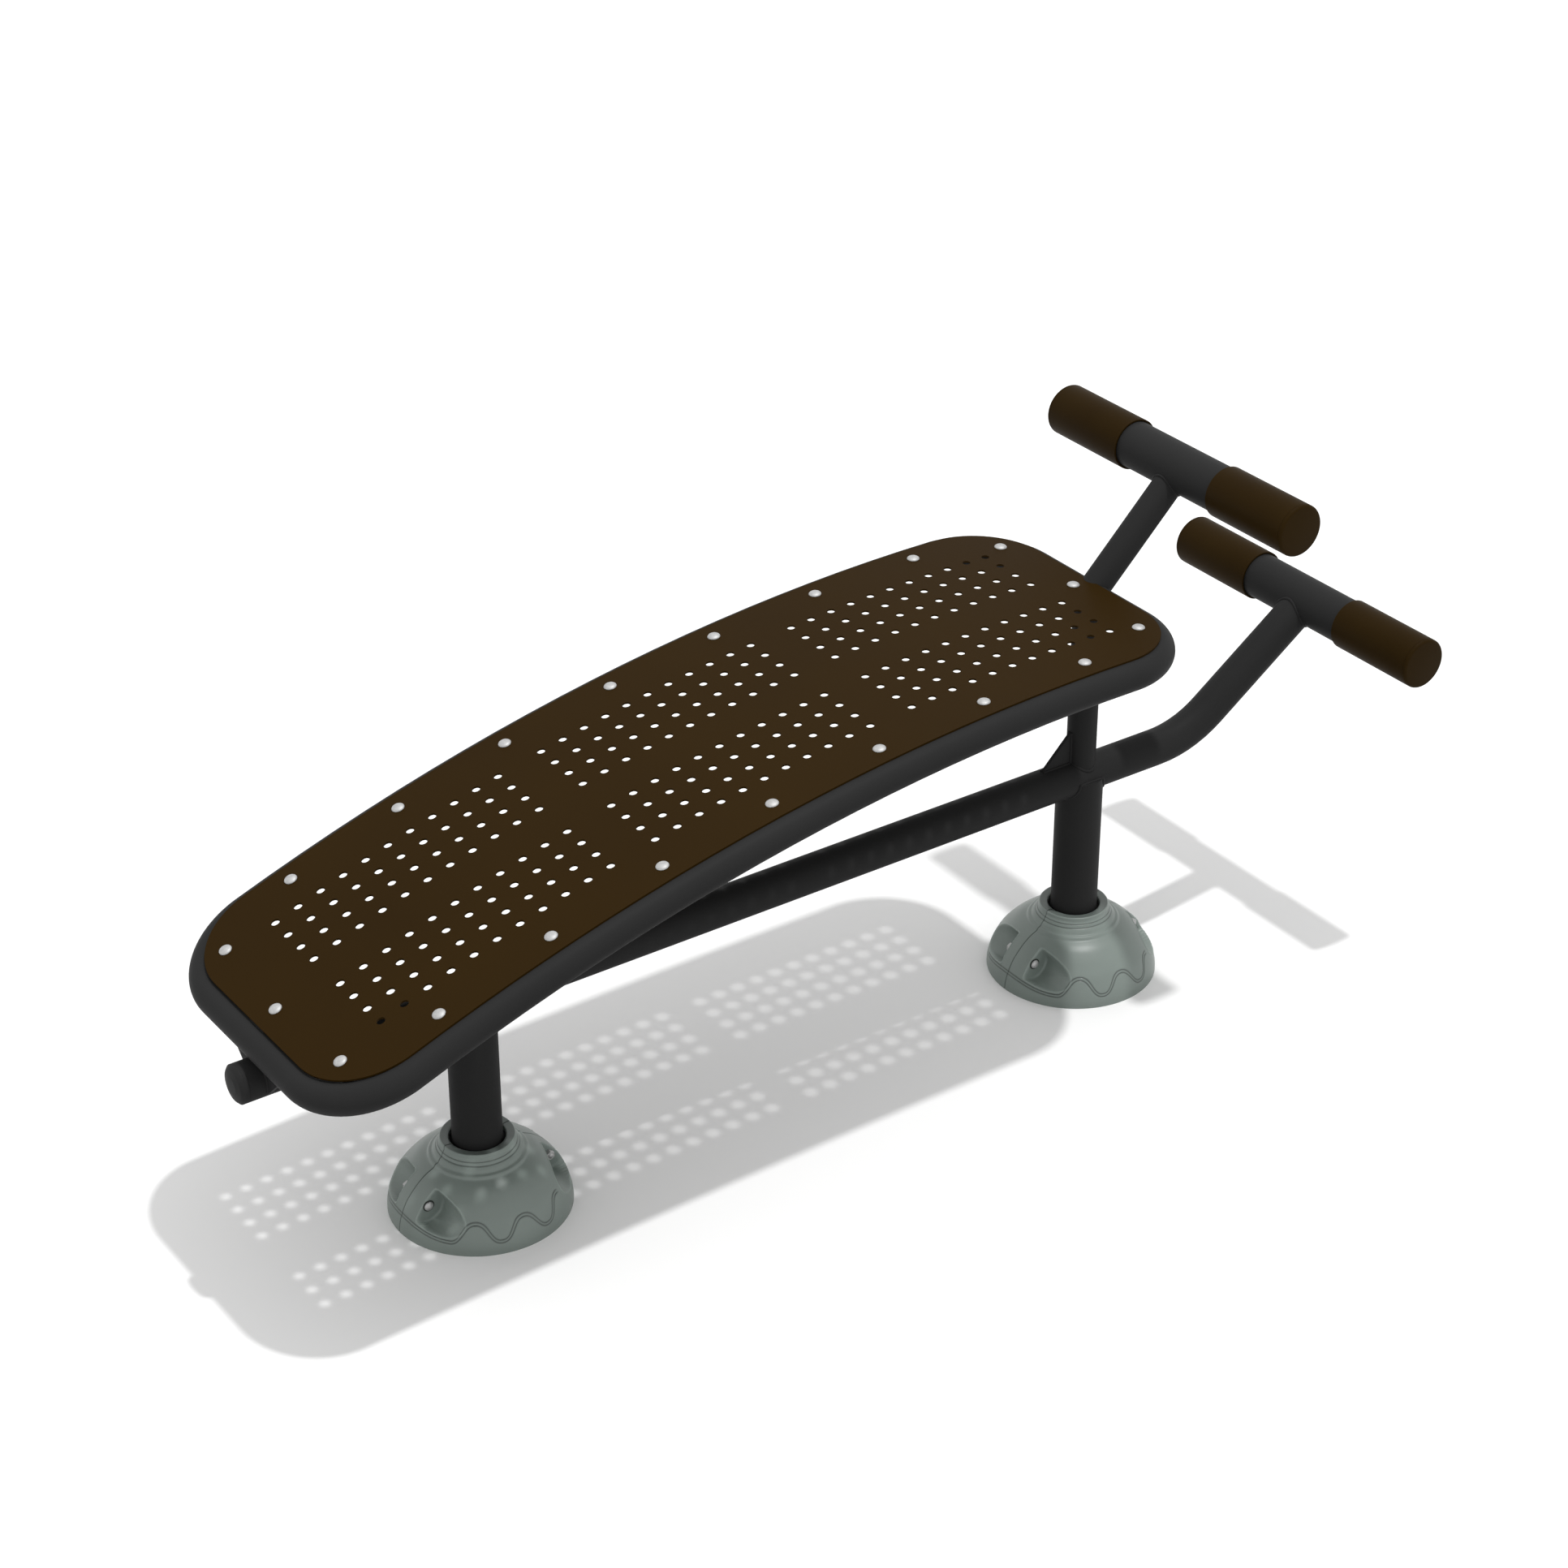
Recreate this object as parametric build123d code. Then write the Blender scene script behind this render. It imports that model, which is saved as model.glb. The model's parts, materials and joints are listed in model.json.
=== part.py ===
from build123d import *
import math
import os

# Sit-up bench, in millimetres. X runs along the bench to the foot rollers, Z up, and the origin lies on the
# ground under the middle of the bench. Left is +Y.

# Overall layout
post_spacing = 1137.5
spine_axis_z = 360.5
spine_tail = 41.7
low_end_rise = 61.4
low_hoop_reach = 12.0
high_end_rise = 322.0
bend_from_front_post = 218.0
lower_arm_length = 308.8
lower_arm_rise_deg = 35.4
upper_arm_length = 245.8
upper_arm_rise_deg = 45.0

# Tubes
post_r = 38.1
post_wall = 4.0
spine_r = 30.15
spine_wall = 3.6
spine_bend_r = 190.5
rim_r = 24.15
rim_wall = 2.9
bar_r = 38.1
bar_wall = 3.2
bar_half_length = 254.0

# Deck, rolled to one radius between ends of set heights
deck_radius = 3426.0
deck_length = 1513.0
deck_half_width = 246.0
deck_thickness = 3.0
deck_corner_r = 120.0
paint_gap = 0.15

# Perforations, drilled straight down
hole_r = 6.35
hole_pitch_x = 37.5
hole_pitch_y = 38.4
hole_panels = 3
hole_rows_a_side = 4
hole_low_margin = 104.3
hole_high_margin = 70.0

# Deck bolts and their tabs
bolt_pitch = 190.4
side_bolt_inset = 32.8
end_bolt_inset = 33.9
corner_bolt_deg = 30.0
deck_bolt_r = 5.0
deck_bolt_hole_r = 5.5
deck_head_r = 10.0
deck_head_height = 4.4
deck_washer_r = 10.5
deck_washer_thickness = 2.0
deck_nut_across = 16.0
deck_nut_height = 8.4
deck_bolt_spare = 3.0
thread_gap = 0.1
tab_width = 40.0
tab_thickness = 5.0
tab_tail = 16.0
tab_lap = 11.0

# Welded joints
cope_land = 6.0
mitre_stub = 2.0
gusset_leg = 55.5
gusset_thickness = 6.0
saddle_behind_end = 14.7
saddle_thickness = 6.35
saddle_edge_deg = 45.0
saddle_nose = 5.0
notch_gap = 0.3
cradle_depth = 12.0

# Spine end cap
end_cap_length = 20.0
end_cap_rim = 7.0
end_cap_spigot = 25.0
end_cap_gap = 0.2
end_cap_dome_shares = ((0.0, 1.0), (0.30, 0.94), (0.62, 0.76), (0.88, 0.42))

# Rollers, which turn on the cross bars
roller_r = 42.1
roller_gap = 0.5
roller_side_gap = 0.3
roller_overhang = 21.5
roller_length = 167.5
roller_cap_dome = 5.0
roller_cap_edge = 1.5
roller_cap_wall = 3.0
roller_cap_spigot = 7.0
roller_bore_chamfer = 2.0
roller_flange = 6.0
spacer_r = 15.7
axle_bolt_r = 5.0
axle_head_r = 9.0
axle_head_height = 5.5
axle_washer_r = 24.0
axle_washer_thickness = 3.0
bar_plug_thickness = 10.0
bar_plug_gap = 0.1

# Base plates and covers
base_plate_side = 177.8
base_plate_thickness = 12.7
base_plate_corner_r = 12.0
anchor_pitch = 127.0
anchor_hole_r = 8.0
cover_r = 139.7
cover_height = 121.5
cover_wall = 4.0
cover_bore_r = 42.3
cover_bore_length = 24.0
cover_dome_shares = (
    (0.0, 1.0),
    (0.099, 0.9936),
    (0.222, 0.9656),
    (0.305, 0.9370),
    (0.407, 0.8919),
    (0.494, 0.8339),
    (0.576, 0.7688),
    (0.656, 0.6865),
    (0.724, 0.5906),
    (0.776, 0.5047),
)
cover_collar_shares = ((0.806, 0.4725), (0.889, 0.4316), (0.963, 0.4116), (1.0, 0.3937))
pocket_r = 28.2
pocket_x = 109.5
pocket_z = 55.5
pocket_head_y = 33.5
pocket_nut_y = 24.0
cover_bolt_x = 106.2
cover_bolt_z = 54.1
cover_bolt_r = 4.0
cover_bolt_hole_r = 4.5
cover_head_r = 7.0
cover_head_height = 5.0
cover_nut_across = 13.0
cover_nut_height = 6.8
cover_bolt_spare = 2.5
seal_height = 12.0
seal_top_drop = 9.0
seal_gap = 0.1

# One overrun serves every cut
overrun = 10.0

# Places worked out from the sizes
lower_rise = math.radians(lower_arm_rise_deg)
upper_rise = math.radians(upper_arm_rise_deg)
lower_run = lower_arm_length * math.cos(lower_rise)
low_end_z = spine_axis_z + low_end_rise
high_end_z = spine_axis_z + high_end_rise
deck_under_r = deck_radius - deck_thickness
rim_arc_r = deck_under_r - paint_gap - rim_r
half_angle = deck_length / (2 * deck_radius)
rim_chord = 2 * rim_arc_r * math.sin(half_angle)
mid_angle = -math.asin((high_end_z - low_end_z) / rim_chord)
high_angle = mid_angle + half_angle
low_angle = mid_angle - half_angle
low_hoop_angle = low_angle - low_hoop_reach / rim_arc_r
rim_run = rim_chord * math.cos(mid_angle)
overall_length = end_cap_length + spine_tail + rim_run + bend_from_front_post + lower_run + roller_r
spine_start_x = end_cap_length - overall_length / 2
low_end_x = spine_start_x + spine_tail
front_post_x = low_end_x + rim_run
rear_post_x = front_post_x - post_spacing
bend_x = front_post_x + bend_from_front_post
lower_bar_x = bend_x + lower_run
lower_bar_z = spine_axis_z + lower_arm_length * math.sin(lower_rise)
upper_bar_x = front_post_x + upper_arm_length * math.cos(upper_rise)
upper_bar_z = high_end_z + upper_arm_length * math.sin(upper_rise)

end_turn = 2 * math.asin(deck_corner_r / (2 * rim_arc_r))
arc_x = front_post_x - rim_arc_r * math.sin(high_angle)
arc_z = high_end_z - rim_arc_r * math.cos(high_angle)


def arc_point(angle, radius, y=0):
    """Point above the deck's centre of curvature; the angle runs from upright towards +X."""
    return (arc_x + radius * math.sin(angle), y, arc_z + radius * math.cos(angle))


def arc_plane(angle, radius, y=0):
    """Plane at an arc point: local X along the deck, local Y across it, local Z outwards."""
    along = (math.cos(angle), 0, -math.sin(angle))
    outwards = (math.sin(angle), 0, math.cos(angle))
    return Plane(origin=arc_point(angle, radius, y), x_dir=along, z_dir=outwards)


def rod(start, end, radius):
    """Round bar from one point to another."""
    axis = Vector(*end) - Vector(*start)
    return Part(Solid.make_cylinder(radius, axis.length, Plane(origin=start, z_dir=axis)).wrapped)


def tube(start, end, outer_r, wall):
    """Round tube from one point to another."""
    return rod(start, end, outer_r) - rod(start, end, outer_r - wall)


def hexagon(plane, across, height):
    """Hexagon head or nut standing on a plane."""
    flat = RegularPolygon(across / 2, side_count=6, major_radius=False)
    return extrude(plane * flat, amount=height)


def turned(points, axis_plane):
    """Solid of revolution of (radius, height) points about the plane's normal."""
    profile = Plane.XZ * make_face(Polyline(*points, close=True))
    return axis_plane.location * revolve(profile, axis=Axis.Z)


def save(name, *pieces):
    """Write one node."""
    solids = [solid for piece in pieces for solid in piece.solids()]
    export_step(Compound(solids) if len(solids) > 1 else solids[0], f"parts/{name}.step")


os.makedirs("parts", exist_ok=True)

high_end = arc_point(high_angle, rim_arc_r)
low_end = arc_point(low_hoop_angle, rim_arc_r)
upper_bar = (upper_bar_x, 0, upper_bar_z)
lower_bar = (lower_bar_x, 0, lower_bar_z)

# Spine tube: straight over both posts, then bent up to the lower cross bar
spine_path = FilletPolyline(
    (spine_start_x, 0, spine_axis_z), (bend_x, 0, spine_axis_z), lower_bar, radius=spine_bend_r
)
spine_end_plane = Plane(origin=(spine_start_x, 0, spine_axis_z), z_dir=(1, 0, 0))
spine_core = sweep(spine_end_plane * Circle(spine_r), path=spine_path)
spine_hollow = sweep(spine_end_plane * Circle(spine_r - spine_wall), path=spine_path)
lower_bar_rod, upper_bar_rod = (
    rod((x, -bar_half_length, z), (x, bar_half_length, z), bar_r)
    for x, _, z in (lower_bar, upper_bar)
)
save("spine_tube", spine_core - spine_hollow - lower_bar_rod)

# Plastic cap in the spine's rear end
cap_dome = end_cap_length - end_cap_rim
cap_points = [(0, -end_cap_spigot)]
cap_points.append((spine_r - spine_wall - end_cap_gap, -end_cap_spigot))
cap_points.append((spine_r - spine_wall - end_cap_gap, 0))
cap_points.append((spine_r, 0))
dome_points = [(spine_r * across, end_cap_rim + cap_dome * out) for out, across in end_cap_dome_shares]
dome_edge = Spline(*dome_points, (0, end_cap_length), tangents=((0, 1), (-1, 0)), tangent_scalars=(1, 1))
cap_outline = Polyline((0, end_cap_length), *cap_points, dome_points[0]) + dome_edge
cap_profile = Plane.XZ * make_face(cap_outline)
cap_plane = Plane(origin=(spine_start_x, 0, spine_axis_z), z_dir=(-1, 0, 0))
save("spine_end_cap", cap_plane.location * revolve(cap_profile, axis=Axis.Z))

# Posts, coped under the spine and cut level at its axis, with a plug that fills each cope
for side, post_x in (("rear", rear_post_x), ("front", front_post_x)):
    foot = (post_x, 0, base_plate_thickness)
    head = (post_x, 0, spine_axis_z)
    cradle_foot = (post_x, 0, spine_axis_z - spine_r - cradle_depth)
    save(f"{side}_post", tube(foot, head, post_r, post_wall) - spine_core)
    save(f"{side}_post_cradle", rod(cradle_foot, head, post_r - post_wall) - spine_core)

# Rim rails, bent to the deck's curve, and the hoops that close its ends. The high hoop carries the edge of the
# deck, and the low one stands a little beyond it.
low_mitre = low_hoop_angle + end_turn
high_mitre = high_angle - end_turn
stub_angle = mitre_stub / rim_arc_r
rail_axis = Axis((arc_x, 0, arc_z), (0, 1, 0))


def mitre_plane(angle, side):
    """Plane that halves the slight turn between a rail and a hoop."""
    slope = angle + side * end_turn / 4
    return Plane(
        origin=arc_point(angle, rim_arc_r), x_dir=(0, 1, 0), z_dir=(math.cos(slope), 0, -math.sin(slope))
    )


def rail_core(radius, y):
    """Bent bar between the two mitres, a little long at each end."""
    start = low_mitre - stub_angle
    section = Plane(
        origin=arc_point(start, rim_arc_r, y), x_dir=(0, 1, 0), z_dir=(math.cos(start), 0, -math.sin(start))
    ) * Circle(radius)
    span = math.degrees(high_mitre - low_mitre + 2 * stub_angle)
    return revolve(section, axis=rail_axis, revolution_arc=span)


def hoop_core(end, angle, side, radius):
    """Flat U of bar at one end of the rim, its legs a little long."""
    slope = angle - side * end_turn / 2
    frame = Plane(origin=end, x_dir=(side * math.cos(slope), 0, -side * math.sin(slope)), z_dir=(
        math.sin(slope), 0, math.cos(slope)))
    back = -deck_corner_r - mitre_stub
    path = frame * FilletPolyline(
        (back, deck_half_width), (0, deck_half_width), (0, -deck_half_width), (back, -deck_half_width),
        radius=deck_corner_r,
    )
    section = Plane(origin=path @ 0, z_dir=path % 0) * Circle(radius)
    return sweep(section, path=path)


def rim_piece(core, hollow, cuts):
    """Hollow bar trimmed at its mitres."""
    piece = core - hollow
    for plane, keep in cuts:
        piece = split(piece, bisect_by=plane, keep=keep)
    return piece


rail_cores = []
for name, y in (("left_side_rail", deck_half_width), ("right_side_rail", -deck_half_width)):
    core = rail_core(rim_r, y)
    rail_cores.append(core)
    cuts = ((mitre_plane(low_mitre, -1), Keep.TOP), (mitre_plane(high_mitre, 1), Keep.BOTTOM))
    save(name, rim_piece(core, rail_core(rim_r - rim_wall, y), cuts))

hoop_cores = []
hoop_cases = (
    ("low_end_hoop", low_end, low_hoop_angle, -1, low_mitre, Keep.BOTTOM),
    ("high_end_hoop", high_end, high_angle, 1, high_mitre, Keep.TOP),
)
for name, end, angle, side, mitre, keep in hoop_cases:
    core = hoop_core(end, angle, side, rim_r)
    hoop_cores.append(core)
    hollow = hoop_core(end, angle, side, rim_r - rim_wall)
    save(name, rim_piece(core, hollow, ((mitre_plane(mitre, side), keep),)))
low_hoop_core, high_hoop_core = hoop_cores

# Arm from the rim's high end to the upper cross bar, and the post from the spine to that end
arm_way = Vector(math.cos(upper_rise), 0, math.sin(upper_rise))
arm_foot = Vector(*high_end) + arm_way * cope_land
arm_core = rod(tuple(arm_foot), upper_bar, rim_r)
half_turn = (upper_rise - math.pi / 2) / 2
seam = Plane(origin=high_end, x_dir=(0, 1, 0), z_dir=(-math.sin(half_turn), 0, math.cos(half_turn)))
arm = tube(tuple(arm_foot), upper_bar, rim_r, rim_wall) - upper_bar_rod - high_hoop_core
save("upper_arm", split(arm, bisect_by=seam, keep=Keep.TOP))

upper_post_foot = (front_post_x, 0, spine_axis_z)
upper_post_head = (front_post_x, 0, high_end_z - cope_land)
upper_post_core = rod(upper_post_foot, upper_post_head, rim_r)
upper_post = tube(upper_post_foot, upper_post_head, rim_r, rim_wall) - spine_core - high_hoop_core
save("front_upper_post", split(upper_post, bisect_by=seam, keep=Keep.BOTTOM))

gusset_back_x = front_post_x - rim_r
gusset_top_z = spine_axis_z + spine_r
gusset_outline = Polyline(
    (gusset_back_x - gusset_leg, gusset_top_z),
    (gusset_back_x - gusset_leg, gusset_top_z - spine_r),
    (front_post_x, gusset_top_z - spine_r),
    (front_post_x, gusset_top_z + gusset_leg),
    (gusset_back_x, gusset_top_z + gusset_leg),
    close=True,
)
gusset = extrude(Plane.XZ * make_face(gusset_outline), amount=gusset_thickness / 2, both=True)
save("front_gusset", gusset - upper_post_core - spine_core)

# Plate between the spine and the rim's low end, its edges running off the spine's flanks
saddle_x = low_end_x - saddle_behind_end
edge_turn = math.radians(saddle_edge_deg)
touch_y = spine_r * math.sin(edge_turn)
touch_z = spine_axis_z - spine_r * math.cos(edge_turn)
saddle_rise = low_end_z - touch_z
saddle_outline = Polyline(
    (touch_y + saddle_nose / math.tan(edge_turn), touch_z + saddle_nose),
    (touch_y + saddle_rise / math.tan(edge_turn), low_end_z),
    (-touch_y - saddle_rise / math.tan(edge_turn), low_end_z),
    (-touch_y - saddle_nose / math.tan(edge_turn), touch_z + saddle_nose),
    close=True,
)
saddle_plane = Plane(origin=(saddle_x, 0, 0), x_dir=(0, 1, 0), z_dir=(1, 0, 0))
saddle = extrude(saddle_plane * make_face(saddle_outline), amount=saddle_thickness)
saddle = saddle - spine_core - low_hoop_core
save("rear_saddle_plate", saddle.solids().sort_by(Axis.Z)[0])

# Places of the deck bolts: distance along the deck, place across it, the way to the rim and how far that is
side_y = deck_half_width - side_bolt_inset
corner_turn = math.radians(corner_bolt_deg)
corner_reach = deck_corner_r - side_bolt_inset
corner_s = deck_length / 2 - deck_corner_r + corner_reach * math.cos(corner_turn)
corner_y = deck_half_width - deck_corner_r + corner_reach * math.sin(corner_turn)
end_s = deck_length / 2 - end_bolt_inset
bolts_each_way = int((deck_length / 2 - deck_corner_r) / bolt_pitch)
bolt_places = []
for way, reach in ((-1, low_hoop_reach), (1, 0)):
    for step in range(-bolts_each_way, bolts_each_way + 1):
        bolt_places.append((step * bolt_pitch, way * side_y, way * math.pi / 2, side_bolt_inset))
    for across in (-1, 1):
        turn = math.atan2(across * math.sin(corner_turn), way * math.cos(corner_turn))
        corner_inset = side_bolt_inset + reach * math.cos(corner_turn)
        bolt_places.append((way * corner_s, across * corner_y, turn, corner_inset))
    bolt_places.append((way * end_s, 0, math.atan2(0, way), end_bolt_inset + reach))

# Deck plate: a strip of one cylinder with round corners, notched for the arm
strip_way = (math.cos(low_angle), 0, -math.sin(low_angle))
strip_plane = Plane(origin=arc_point(low_angle, deck_under_r), x_dir=(0, 1, 0), z_dir=strip_way)
strip_section = strip_plane * Pos(0, deck_thickness / 2) * Rectangle(2 * deck_half_width, deck_thickness)
deck = revolve(strip_section, axis=rail_axis, revolution_arc=math.degrees(deck_length / deck_radius))
corner_side = deck_corner_r + overrun
for way in (-1, 1):
    corner_angle = mid_angle + way * (deck_length / 2 - deck_corner_r) / deck_radius
    for across in (-1, 1):
        place = arc_plane(corner_angle, deck_under_r - overrun, across * (deck_half_width - deck_corner_r))
        middle = Pos(way * corner_side / 2, across * corner_side / 2)
        waste = middle * Rectangle(corner_side, corner_side) - Circle(deck_corner_r)
        deck -= extrude(place * waste, amount=2 * overrun + deck_thickness)
deck -= rod(high_end, upper_bar, rim_r + notch_gap)
drill_low_z = min(low_end_z, high_end_z) - rim_r
drill_high_z = max(arc_point(0, deck_radius)[-1], high_end_z) + overrun
field_columns = int((rim_run - hole_low_margin - hole_high_margin) / hole_pitch_x) + 1
panel_step = (field_columns + 1) // hole_panels
drills = []
for column in range(panel_step * hole_panels - 1):
    if (column + 1) % panel_step == 0:
        continue
    drill_x = low_end_x + hole_low_margin + column * hole_pitch_x
    for row in range(1, hole_rows_a_side + 1):
        for across in (-1, 1):
            drill_y = across * row * hole_pitch_y
            drills.append(rod((drill_x, drill_y, drill_low_z), (drill_x, drill_y, drill_high_z), hole_r))
for s, y, _, _ in bolt_places:
    place = arc_plane(mid_angle + s / deck_radius, deck_under_r, y)
    drills.append(place.location * Cylinder(deck_bolt_hole_r, 2 * overrun + 2 * deck_thickness))
deck -= drills
save("deck_plate", deck)

# Tabs welded inside the rim, with the deck's bolts, washers and nuts
tab_top_r = deck_under_r - paint_gap
tabs, bolts, washers, nuts = [], [], [], []
for s, y, turn, inset in bolt_places:
    angle = mid_angle + s / deck_radius
    tab_place = arc_plane(angle, tab_top_r, y).location * Rot(0, 0, math.degrees(turn))
    tab_length = tab_tail + inset - tab_lap
    tab_middle = Pos(tab_length / 2 - tab_tail, 0, -tab_thickness / 2)
    hole = Pos(0, 0, -tab_thickness / 2) * Cylinder(deck_bolt_hole_r, tab_thickness + 2 * overrun)
    tab = tab_place * (tab_middle * Box(tab_length, tab_width, tab_thickness) - hole)
    for core in (*rail_cores, *hoop_cores, arm_core):
        if core.bounding_box().overlaps(tab.bounding_box()):
            tab -= core
    tabs.append(tab)
    washer_top = -tab_thickness - paint_gap
    nut_top = washer_top - deck_washer_thickness
    shank_low = nut_top - deck_nut_height - deck_bolt_spare
    head_seat = deck_thickness + 2 * paint_gap
    ball_r = (deck_head_r**2 + deck_head_height**2) / (2 * deck_head_height)
    ball = Pos(0, 0, head_seat + deck_head_height - ball_r) * Sphere(ball_r)
    head_disc = Pos(0, 0, head_seat + deck_head_height / 2) * Cylinder(deck_head_r, deck_head_height)
    shank = Pos(0, 0, (head_seat + shank_low) / 2) * Cylinder(deck_bolt_r, head_seat - shank_low)
    bolts.append(tab_place * ((head_disc & ball) + shank))
    ring = Cylinder(deck_washer_r, deck_washer_thickness) - Cylinder(deck_bolt_hole_r, deck_washer_thickness)
    washers.append(tab_place * Pos(0, 0, washer_top - deck_washer_thickness / 2) * ring)
    nut = hexagon(Plane(origin=(0, 0, nut_top - deck_nut_height)), deck_nut_across, deck_nut_height)
    nut -= Pos(0, 0, nut_top - deck_nut_height / 2) * Cylinder(deck_bolt_r + thread_gap, deck_nut_height)
    nuts.append(tab_place * nut)
save("deck_tabs", *tabs)
save("deck_bolts", *bolts)
save("deck_washers", *washers)
save("deck_nuts", *nuts)

# Cross bars, with a plug welded in each end, and the rollers that turn on them
roller_outer_y = bar_half_length + roller_overhang
roller_inner_y = roller_outer_y - roller_length
sleeve_bore_r = bar_r + roller_gap
flange_y = bar_half_length + roller_side_gap
flange_end_y = flange_y + roller_flange
spacer_end_y = flange_end_y + roller_side_gap
washer_end_y = spacer_end_y + axle_washer_thickness
sleeve_points = (
    (sleeve_bore_r + roller_bore_chamfer, roller_inner_y),
    (roller_r, roller_inner_y),
    (roller_r, roller_outer_y),
    (sleeve_bore_r, roller_outer_y),
    (sleeve_bore_r, flange_end_y),
    (spacer_r + roller_gap, flange_end_y),
    (spacer_r + roller_gap, flange_y),
    (sleeve_bore_r, flange_y),
    (sleeve_bore_r, roller_inner_y + roller_bore_chamfer),
)
spigot_r = sleeve_bore_r - bar_plug_gap
crown_y = roller_outer_y + roller_cap_dome
cap_face_y = roller_outer_y - roller_cap_wall + roller_cap_dome / 2
roller_cap_points = [
    (roller_r, roller_outer_y),
    (roller_r, roller_outer_y + roller_cap_dome - 2 * roller_cap_edge),
    (roller_r - roller_cap_edge, crown_y - roller_cap_edge / 2),
    (spacer_r, crown_y),
    (0, crown_y),
    (0, cap_face_y),
    (spigot_r - roller_cap_wall, cap_face_y),
    (spigot_r - roller_cap_wall, roller_outer_y - roller_cap_spigot),
    (spigot_r, roller_outer_y - roller_cap_spigot),
    (spigot_r, roller_outer_y),
]
roller_washers, roller_spacers, roller_bolts = [], [], []
bar_cases = (("upper", upper_bar, upper_bar_rod), ("lower", lower_bar, lower_bar_rod))
for level, (bar_x, _, bar_z), bar_rod in bar_cases:
    inner = rod((bar_x, -bar_half_length, bar_z), (bar_x, bar_half_length, bar_z), bar_r - bar_wall)
    save(f"{level}_cross_bar", bar_rod - inner)
    plugs = []
    for side, way in (("left", 1), ("right", -1)):
        axle = Plane(origin=(bar_x, 0, bar_z), x_dir=(1, 0, 0), z_dir=(0, way, 0))
        at = axle.location
        plug_y = bar_half_length - bar_plug_thickness / 2
        plug = Cylinder(bar_r - bar_wall - bar_plug_gap, bar_plug_thickness)
        plug -= Cylinder(axle_bolt_r + thread_gap, bar_plug_thickness)
        plugs.append(at * Pos(0, 0, plug_y) * plug)
        save(f"{level}_{side}_roller_sleeve", turned(sleeve_points, axle))
        save(f"{level}_{side}_roller_cap", turned(roller_cap_points, axle))
        spacer_length = spacer_end_y - bar_half_length
        spacer = Cylinder(spacer_r, spacer_length) - Cylinder(axle_bolt_r + thread_gap, spacer_length)
        roller_spacers.append(at * Pos(0, 0, (spacer_end_y + bar_half_length) / 2) * spacer)
        ring = Cylinder(axle_washer_r, axle_washer_thickness)
        ring -= Cylinder(axle_bolt_r + thread_gap, axle_washer_thickness)
        roller_washers.append(at * Pos(0, 0, (spacer_end_y + washer_end_y) / 2) * ring)
        shank_start_y = bar_half_length - bar_plug_thickness
        shank = Cylinder(axle_bolt_r, washer_end_y - shank_start_y)
        head = Cylinder(axle_head_r, axle_head_height)
        shank_at = Pos(0, 0, (washer_end_y + shank_start_y) / 2)
        head_at = Pos(0, 0, washer_end_y + axle_head_height / 2)
        roller_bolts.append(at * (shank_at * shank + head_at * head))
    save(f"{level}_bar_end_plates", *plugs)
save("roller_spacers", *roller_spacers)
save("roller_washers", *roller_washers)
save("roller_bolts", *roller_bolts)

# Base plates
plate_sketch = RectangleRounded(base_plate_side, base_plate_side, base_plate_corner_r)
plate_sketch -= GridLocations(anchor_pitch, anchor_pitch, 2, 2) * Circle(anchor_hole_r)
base_plate = extrude(plate_sketch, amount=base_plate_thickness)
save("rear_base_plate", Pos(rear_post_x, 0, 0) * base_plate)
save("front_base_plate", Pos(front_post_x, 0, 0) * base_plate)


# Base covers: domed shells in two equal halves, with pockets for the bolts that clamp them together
def inset_points(points, distance):
    """Points moved square to the outline, towards the axis and down."""
    moved = []
    for index, (r, h) in enumerate(points):
        before_r, before_h = points[max(index - 1, 0)]
        after_r, after_h = points[min(index + 1, len(points) - 1)]
        step = math.hypot(after_r - before_r, after_h - before_h)
        moved.append((r - distance * (after_h - before_h) / step, h + distance * (after_r - before_r) / step))
    return moved


def pocket(end, wall_y, grow):
    """Round scoop beside the split, running out from the flange wall round a bolt."""
    scoop_x = end * pocket_x
    return rod((scoop_x, grow - wall_y, pocket_z), (scoop_x, -cover_r - overrun, pocket_z), pocket_r + grow)


outer_dome = [(cover_r * across, cover_height * up) for up, across in cover_dome_shares]
outer_collar = [(cover_r * across, cover_height * up) for up, across in cover_collar_shares]
inner_dome = inset_points(outer_dome, cover_wall)
inner_dome[0] = (cover_r - cover_wall, 0)
collar_foot_z = cover_height - cover_bore_length
outer_face = make_face(
    Spline(*outer_dome)
    + Polyline(outer_dome[-1], *outer_collar, (0, cover_height), (0, 0), outer_dome[0])
)
inner_face = make_face(
    Spline(*inner_dome)
    + Polyline(
        inner_dome[-1],
        (cover_bore_r, collar_foot_z),
        (cover_bore_r, cover_height + overrun),
        (0, cover_height + overrun),
        (0, 0),
        inner_dome[0],
    )
)
outer = revolve(Plane.XZ * outer_face, axis=Axis.Z)
inner = revolve(Plane.XZ * inner_face, axis=Axis.Z)
half_outer = outer - pocket(-1, pocket_head_y, 0) - pocket(1, pocket_nut_y, 0)
half_inner = inner - pocket(-1, pocket_head_y, cover_wall) - pocket(1, pocket_nut_y, cover_wall)
half = split(half_outer - half_inner, bisect_by=Plane.XZ, keep=Keep.TOP)
for x in (-cover_bolt_x, cover_bolt_x):
    half -= rod((x, -cover_r, cover_bolt_z), (x, cover_r, cover_bolt_z), cover_bolt_hole_r)
cover_bolts, cover_nuts = [], []
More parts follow.
